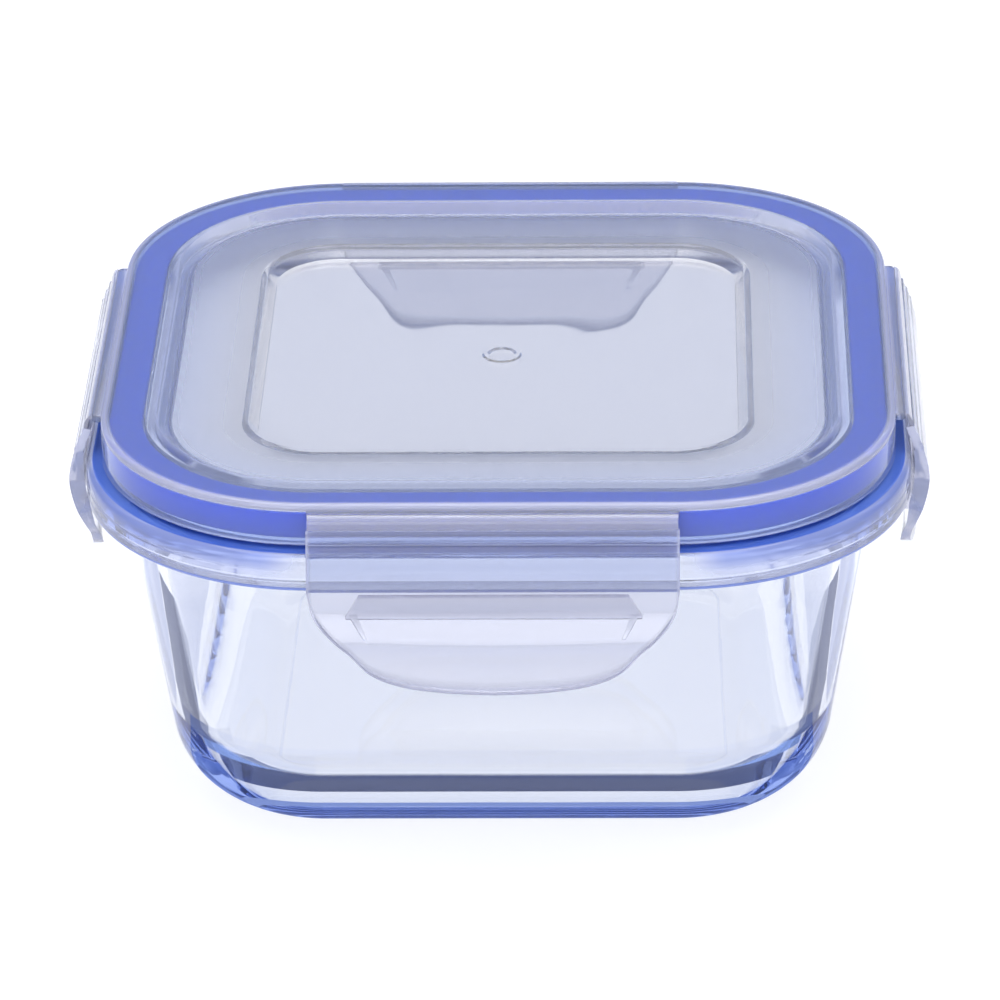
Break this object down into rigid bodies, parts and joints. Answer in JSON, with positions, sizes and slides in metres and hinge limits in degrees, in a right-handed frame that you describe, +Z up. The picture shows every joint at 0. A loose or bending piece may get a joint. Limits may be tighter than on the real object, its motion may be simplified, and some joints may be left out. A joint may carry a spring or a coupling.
{
  "type": "glass storage container",
  "caption": "Square clear glass food container with a translucent snap-lock lid, blue seal and hinged locking flaps on its sides.",
  "frame": {"origin": "centre of the flat underside of the glass bowl, on the surface it stands on", "axes": "+Z up out of the bowl; the four flaps face +X (right), +Y (back), -X (left) and -Y (front)"},
  "size_m": [0.1274, 0.1274, 0.0614],
  "materials": {
    "glass": "clear polished, faint blue tint in the thick corners",
    "lid_plastic": "translucent milky polypropylene, fine grain on the plate, glossy panel and flaps",
    "seal_silicone": "satin periwinkle-blue silicone"
  },
  "bodies": {
    "bowl": {"glass_bowl": "glass"},
    "lid": {"lid_panel": "lid_plastic", "gasket": "seal_silicone", "front_hinge_web": "lid_plastic", "back_hinge_web": "lid_plastic", "left_hinge_web": "lid_plastic", "right_hinge_web": "lid_plastic"},
    "front_flap_body": {"front_flap": "lid_plastic"},
    "back_flap_body": {"back_flap": "lid_plastic"},
    "left_flap_body": {"left_flap": "lid_plastic"},
    "right_flap_body": {"right_flap": "lid_plastic"}
  },
  "joints": [
    {"name": "lid_lift", "type": "slide", "parent": "bowl", "child": "lid", "axis": [0, 0, 1], "range_m": [0, 0.06]},
    {"name": "front_flap_hinge", "type": "hinge", "parent": "lid", "child": "front_flap_body", "pos_m": [0, -0.0606, 0.05975], "axis": [-1, 0, 0], "range_deg": [0, 175], "deforming": ["front_hinge_web"]},
    {"name": "back_flap_hinge", "type": "hinge", "parent": "lid", "child": "back_flap_body", "pos_m": [0, 0.0606, 0.05975], "axis": [1, 0, 0], "range_deg": [0, 175], "deforming": ["back_hinge_web"]},
    {"name": "left_flap_hinge", "type": "hinge", "parent": "lid", "child": "left_flap_body", "pos_m": [-0.0606, 0, 0.05975], "axis": [0, 1, 0], "range_deg": [0, 175], "deforming": ["left_hinge_web"]},
    {"name": "right_flap_hinge", "type": "hinge", "parent": "lid", "child": "right_flap_body", "pos_m": [0.0606, 0, 0.05975], "axis": [0, -1, 0], "range_deg": [0, 175], "deforming": ["right_hinge_web"]}
  ]
}
